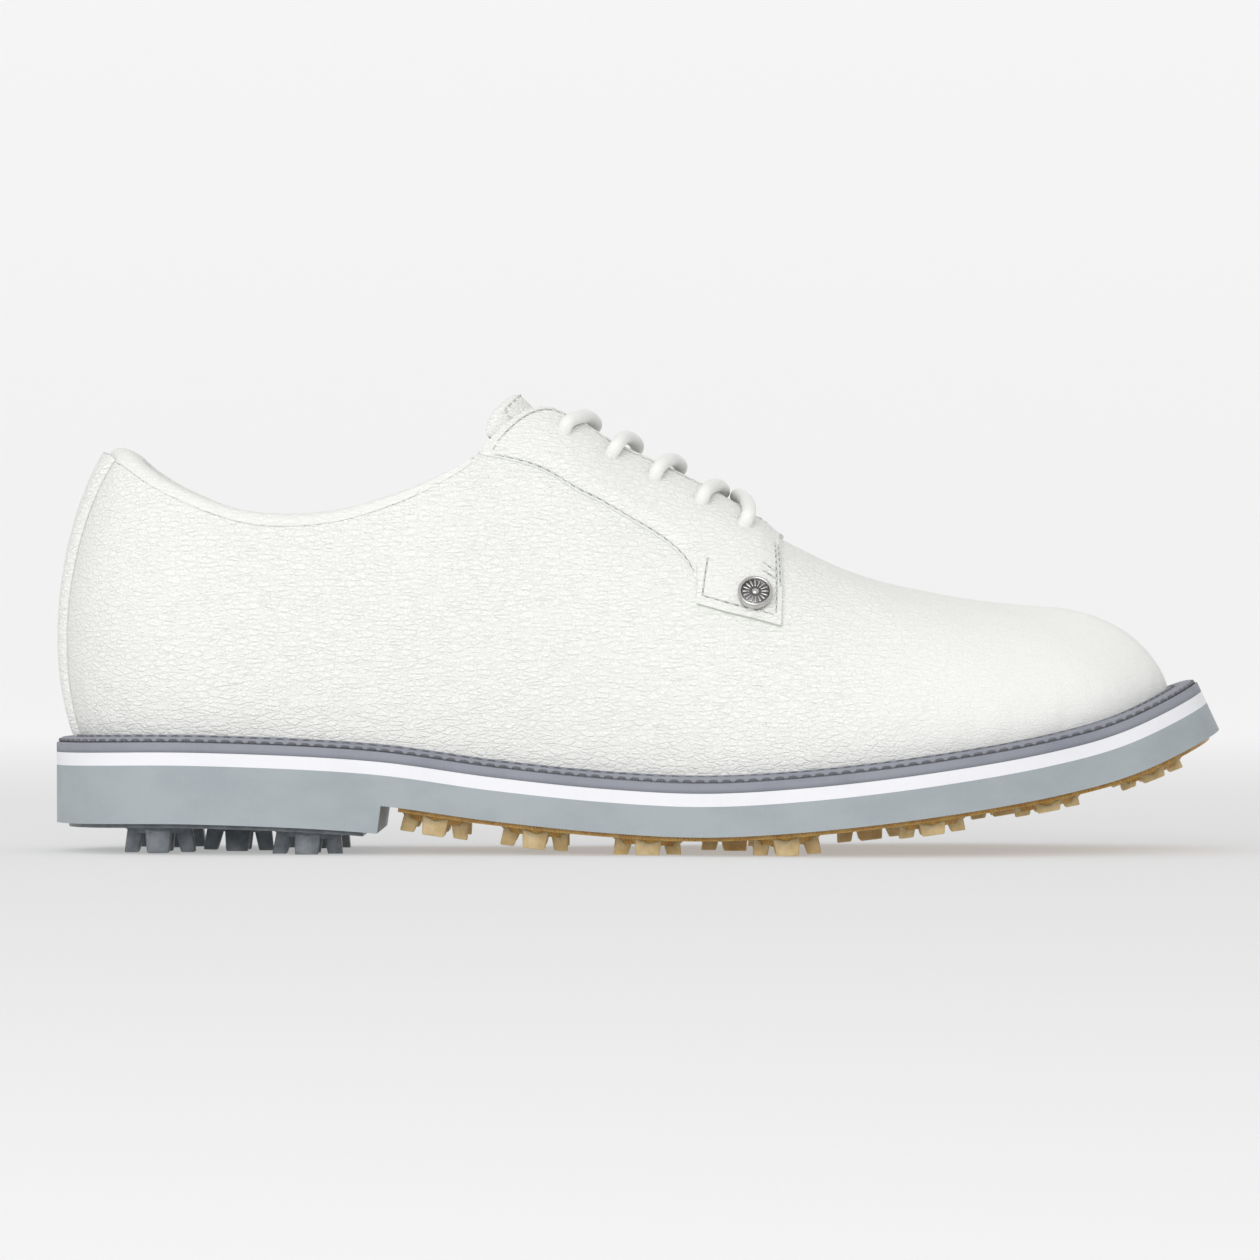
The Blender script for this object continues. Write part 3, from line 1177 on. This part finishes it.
def welt_ring():
    """The welt: a low upright side, a sewn slope above it, and a rib against the leather."""
    columns = 720
    u = np.arange(columns) / columns
    outer = outline_at(SOLE_OUTLINE, u)
    normal = outline_normal(FEATHER_OUTLINE, u)
    inner = outline_at(FEATHER_OUTLINE, u) + 0.1 * normal
    across = inner - outer
    width = np.linalg.norm(across, axis=1)
    profile = [
        (0.0, 3.9), (0.0, 2.7), (0.0, 1.75), (0.08, 1.5), (0.3, 1.38), (0.62, 1.32), (0.72, 1.45),
        (0.95, 1.3), (1.15, 0.75), (1.25, 0.3), (1.5, 0.12), (2.0, 0.0), (2.6, -0.08),
    ]
    rib = [
        (1.75, -0.05), (1.6, 0.15), (1.35, 0.38), (1.05, 0.38),
        (0.8, 0.1), (0.55, -0.35), (0.3, -0.55), (0.0, -0.6),
    ]
    rings = []
    for distance, depth in profile:
        at = outer + across * (distance / width)[:, None]
        rings.append(sole_points(at[:, 0], at[:, 1], -depth))
    for distance, depth in rib:
        at = inner - across * (distance / width)[:, None]
        rings.append(sole_points(at[:, 0], at[:, 1], -depth))
    for extra, depth in ((0.1, 1.2), (0.1, 3.9)):
        at = inner - normal * extra
        rings.append(sole_points(at[:, 0], at[:, 1], -depth))
    rings = np.stack(rings, 1)
    faces = grid_faces(columns, rings.shape[1], wrap=True, close=True)
    piece = add_mesh("welt_strip", rings, faces, [WELT_RUBBER])
    settle(piece, "shoe", "welt", "welt")
    return outer, inner, across, width


def welt_stitching(outer, inner, across, width):
    loops = {
        "outer": (outer + across * (0.86 / width)[:, None], 0.95, 0.40),
        "inner": (inner - across * (1.2 / width)[:, None], 0.02, 0.36),
    }
    for name, (plan, depth, radius) in loops.items():
        path = sole_points(plan[:, 0], plan[:, 1], -depth)
        out = sole_points(plan[:, 0], plan[:, 1], 1 - depth) - path
        closed, closed_out = np.vstack([path, path[:1]]), np.vstack([out, out[:1]])
        stitches = stitch_parts(closed, closed_out, WELT_STITCH, 0.66 * WELT_STITCH, radius, lift=0.16)
        points, faces = join_parts(stitches)
        settle(add_mesh(f"welt_stitches_{name}", points, faces, [WELT_THREAD]), "shoe", "welt")
        points, faces = ribbon_parts(path - 0.12 * out, out, 0.7, 0.1)
        settle(add_mesh(f"welt_channel_{name}", points, faces, [WELT_CHANNEL]), "shoe", "welt")


def lengths_between(start, end, count, extra=()):
    t = np.linspace(0, np.pi, count)
    return np.sort(np.r_[start + (end - start) * (1 - np.cos(t)) / 2, np.array(extra, float)])


def slab(name, outline, top, bottom, materials, inset=0.0, start=None, end=None, columns=260, across=9,
         extra=()):
    """A layer of the sole between two depths below the welt's top."""
    ring = inset_outline(outline, inset)
    heel, toe = ring[0], ring[len(ring) // 2]
    x = lengths_between(heel[0] if start is None else start, toe[0] if end is None else end, columns, extra)
    lateral, medial = half_widths(outline, inset, x)
    if start is None:
        lateral[0] = medial[0] = heel[1]
    if end is None:
        lateral[-1] = medial[-1] = toe[1]
    share = np.linspace(0, 1, across)
    y = lateral[:, None] + (medial - lateral)[:, None] * share
    grid_x = np.repeat(x[:, None], across, 1)
    depth_top = top(grid_x, share) if callable(top) else np.full_like(grid_x, float(top))
    depth_bottom = bottom(grid_x) if callable(bottom) else np.full_like(grid_x, float(bottom))
    outer = sole_points(grid_x, y, -depth_top)
    inner = sole_points(grid_x, y, -depth_bottom)
    points, faces, kinds = shell(outer, inner)
    piece = add_mesh(name, points, faces, materials, np.minimum(kinds, len(materials) - 1))
    weld(piece, 0.01)
    return piece


def sole_layers():
    midsole = slab("midsole_strip", SOLE_OUTLINE, WELT, MIDSOLE_BOTTOM, [WHITE_EVA])
    bevel(midsole, 0.12, 2, 60)
    settle(midsole, "shoe", "midsole", "midsole")

    def underside(x):
        return np.where(x < HEEL_BREAST, HEEL_BOTTOM, OUTSOLE_BOTTOM)

    outsole = slab("outsole_block", SOLE_OUTLINE, MIDSOLE_BOTTOM, underside, [BLUE_RUBBER],
                   extra=(HEEL_BREAST - 0.01, HEEL_BREAST + 0.25))
    bevel(outsole, 0.35, 3, 60)
    settle(outsole, "shoe", "outsole", "outsole")
    forefoot = slab("amber_plate", SOLE_OUTLINE, FOREFOOT_PLATE[1], FOREFOOT_PLATE[2], [AMBER],
                    inset=PLATE_INSET, start=FOREFOOT_PLATE[0])
    bevel(forefoot, 0.3, 2, 60)
    settle(forefoot, "shoe", "amber", "forefoot_traction_plate")
    heel = slab("smoke_plate", SOLE_OUTLINE, HEEL_PLATE[1], HEEL_PLATE[2], [SMOKE],
                inset=PLATE_INSET, end=HEEL_PLATE[0])
    bevel(heel, 0.3, 2, 60)
    settle(heel, "shoe", "smoke", "heel_traction_plate")


def footbed():
    """The cushioned insole: cupped at the heel and edges, with a low arch."""
    bottom = -1.0
    thick = 4.0

    def top(x, share):
        edge = np.abs(2 * share - 1)[None, :]
        cup = 0.9 * edge ** 3 * (1 - smoothstep(x, 150, 220))
        return bottom - thick + 0.9 - cup

    piece = slab("footbed_pad", FEATHER_OUTLINE, top, bottom, [FOOTBED_CLOTH], inset=5.4, across=25)
    bevel(piece, 0.7, 3, 50)
    settle(piece, "shoe", "foam", "footbed")


# ---------------------------------------------------------------- lugs

LUG_EDGE_INSET = 14
LUG_HUB_RADIUS = 9.5
LUG_RING = 6
LUG_SPLAY = 0.2              # outward lean, per millimetre of height
LUG_ROOT_RADIUS = 3.9
LUG_TIP_RADIUS = 3.2
LUG_THIN = 0.8               # a lug is longer along the ring than across it
LUG_LONG = 1.25
LUG_CORNER = 0.45            # softened upright edges
FOREFOOT_LUG_HEIGHT = 4.9
TOE_LUG_HEIGHT = 2.7


def lug_block(height, turn):
    """One tapered lug with softened corners, leaning outwards from its cluster's middle."""
    levels = np.array([0.0, 0.12, 0.5, 0.86, 0.97, 1.0])
    corners = [(1, 1), (-1, 1), (-1, -1), (1, -1)]
    rings = []
    for level in levels:
        radius = LUG_ROOT_RADIUS + (LUG_TIP_RADIUS - LUG_ROOT_RADIUS) * level
        shrink = 1.0 if level < 0.95 else 0.985 if level < 0.99 else 0.9
        half_x, half_y = (radius / math.sqrt(2) * scale * shrink for scale in (LUG_THIN, LUG_LONG))
        ring = []
        for k, (sx, sy) in enumerate(corners):
            for part in (-1, 0, 1):
                angle = math.radians(45 + 90 * k + part * 36)
                ring.append((sx * (half_x - LUG_CORNER) + LUG_CORNER * math.cos(angle),
                             sy * (half_y - LUG_CORNER) + LUG_CORNER * math.sin(angle), -height * level))
        rings.append(ring)
    points = np.array(rings, float).reshape(-1, 3)
    points[:, 0] += LUG_RING - LUG_SPLAY * points[:, 2]
    cos, sin = math.cos(turn), math.sin(turn)
    turned = np.stack([points[:, 0] * cos - points[:, 1] * sin, points[:, 0] * sin + points[:, 1] * cos,
                       points[:, 2]], -1)
    return turned, ring_faces(len(levels), 3 * len(corners))


def lug_hub(height=1.5):
    """The scalloped web that the lugs of a cluster stand on."""
    sides = 72
    angle = 2 * np.pi * np.arange(sides) / sides
    profile = [(0.0, 0.35), (0.0, 0.0), (0.7, -0.5 * height), (0.9, -height), (1.0, -height)]
    scallop = LUG_HUB_RADIUS - 0.9 + 0.9 * np.cos(4 * angle)
    rings = []
    for shrink, z in profile[:-1]:
        radius = scallop * (1 - 0.16 * shrink)
        rings.append(np.stack([radius * np.cos(angle), radius * np.sin(angle), np.full(sides, z)], -1))
    centre_top = np.array([[0, 0, 0.35]])
    centre_low = np.array([[0, 0, -height]])
    points = np.vstack([np.vstack(rings), centre_top, centre_low])
    faces = grid_faces(len(rings), sides, close=True).tolist()
    top, low = len(points) - 2, len(points) - 1
    for s in range(sides):
        nxt = (s + 1) % sides
        faces.append((s, nxt, top))
        faces.append(((len(rings) - 1) * sides + nxt, (len(rings) - 1) * sides + s, low))
    return points, faces


def lug_cluster(name, x, y, depth, height, hub_material, lug_material, slot, node):
    hub = lug_hub()
    lugs = [lug_block(height, math.pi / 2 * k) for k in range(4)]
    points, faces = join_parts([hub, *lugs])
    slope = float(np.interp(x, _line[:, 0], _slope))
    angle = math.atan(slope)
    cos, sin = math.cos(angle), math.sin(angle)
    turned = np.stack([points[:, 0] * cos - points[:, 2] * sin, points[:, 1],
                       points[:, 0] * sin + points[:, 2] * cos], -1)
    placed = turned + sole_points(x, y, -depth)
    placed[:, 2] = np.maximum(placed[:, 2], 0.0)
    kinds = [0] * len(hub[1]) + [1] * (len(faces) - len(hub[1]))
    piece = add_mesh(name, placed, faces, [hub_material, lug_material], kinds)
    bevel(piece, 0.18, 2, 40)
    settle(piece, "shoe", slot, node)


def forefoot_lug_height(x):
    """Forefoot lugs get shorter under the toe."""
    shorter = smoothstep(x, 185, 255)
    return float(FOREFOOT_LUG_HEIGHT + (TOE_LUG_HEIGHT - FOREFOOT_LUG_HEIGHT) * shorter)


def lugs():
    def both_sides(lengths):
        lateral, medial = half_widths(SOLE_OUTLINE, LUG_EDGE_INSET, np.array(lengths, float))
        return [(x, y) for x, pair in zip(lengths, zip(lateral, medial)) for y in pair]

    heel = both_sides([30, 70]) + [(50, 0)]
    for k, (x, y) in enumerate(heel):
        lug_cluster(f"heel_lugs_{k + 1}", x, y, 23.4, 6.5, SMOKE, SMOKE, "smoke", f"heel_lug_cluster_{k + 1}")
    forefoot = both_sides([104, 129, 157, 190, 226, 255]) + [(x, 2) for x in (178, 212, 246)]
    forefoot += [(280, -15), (280, 20)]
    for k, (x, y) in enumerate(forefoot):
        lug_cluster(f"forefoot_lugs_{k + 1}", x, y, 16.2, forefoot_lug_height(x), AMBER, SAND, "sand",
                    f"forefoot_lug_cluster_{k + 1}")


# ---------------------------------------------------------------- carried-over CAD nodes

def finish_cad_nodes():
    finishes = {
        "toe_puff": BOARD, "heel_counter": BOARD, "insole_board": BOARD, "forefoot_filler": CORK,
        "shank": STEEL, "badge_washer": STEEL, "front_aglet": CLEAR_TIP, "top_aglet": CLEAR_TIP,
    }
    for name, material in finishes.items():
        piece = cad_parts[name]
        if not piece.material_slots:
            piece.data.materials.append(material)
        for material_slot in piece.material_slots:
            material_slot.material = material


# ---------------------------------------------------------------- stage, light, camera

def stage():
    """A pale paper dish: flat under the shoe, curving up far away on every side."""
    sides = 96
    flat = np.linspace(0.0, 2.6, 14)
    turn = np.linspace(0, np.pi / 2, 20)[1:]
    radius = np.r_[flat, 2.6 + 2.4 * np.sin(turn)]
    height = np.r_[0 * flat, 2.4 * (1 - np.cos(turn))]
    angle = 2 * np.pi * np.arange(sides) / sides
    points = np.stack([np.outer(np.cos(angle), radius), np.outer(np.sin(angle), radius),
                       np.repeat(height[None, :], sides, 0)], -1) / MM + ORIGIN
    points[..., 2] -= 0.05
    faces = grid_faces(sides, len(radius), wrap=True)
    piece = add_mesh("paper_floor", points, faces, [paper_floor("white_paper")])


def soft_box(name, location, target, size, power, colour=(1, 1, 1)):
    data = bpy.data.lights.new(name, "AREA")
    data.shape = "RECTANGLE"
    data.size, data.size_y = size
    data.energy = power
    data.color = colour
    light = bpy.data.objects.new(name, data)
    light.location = location
    direction = np.array(target, float) - np.array(location, float)
    light.rotation_euler = look_along(direction)
    bpy.context.scene.collection.objects.link(light)


def look_along(direction):
    return Vector(direction).to_track_quat("-Z", "Y").to_euler()


def lights():
    world = bpy.data.worlds.new("studio")
    world.use_nodes = True
    background = world.node_tree.nodes["Background"]
    background.inputs["Color"].default_value = (1.0, 1.0, 1.0, 1.0)
    background.inputs["Strength"].default_value = 0.78
    bpy.context.scene.world = world
    soft_box("key", (-0.5, -2.0, 0.75), (0.0, 0.0, 0.05), (1.5, 1.0), 20)


def camera():
    distance = 1.66
    field = 0.3301
    data = bpy.data.cameras.new("camera")
    data.sensor_width = 36
    data.lens = data.sensor_width * distance / field
    data.clip_start = 0.05
    view = bpy.data.objects.new("camera", data)
    view.location = (-0.0022, -distance, 0.0576)
    view.rotation_euler = (math.pi / 2, 0, 0)
    bpy.context.scene.collection.objects.link(view)
    bpy.context.scene.camera = view


camera()
stage()
lights()
bpy.context.scene.view_settings.view_transform = "Standard"

upper_skin()
inner_linings()
collar_padding()
collar_roll()
heel_strip()
for is_lateral in (True, False):
    facing(is_lateral)
    facing_stitching(is_lateral)
badge()
tongue()
lace()
welt_stitching(*welt_ring())
sole_layers()
footbed()
lugs()
finish_cad_nodes()
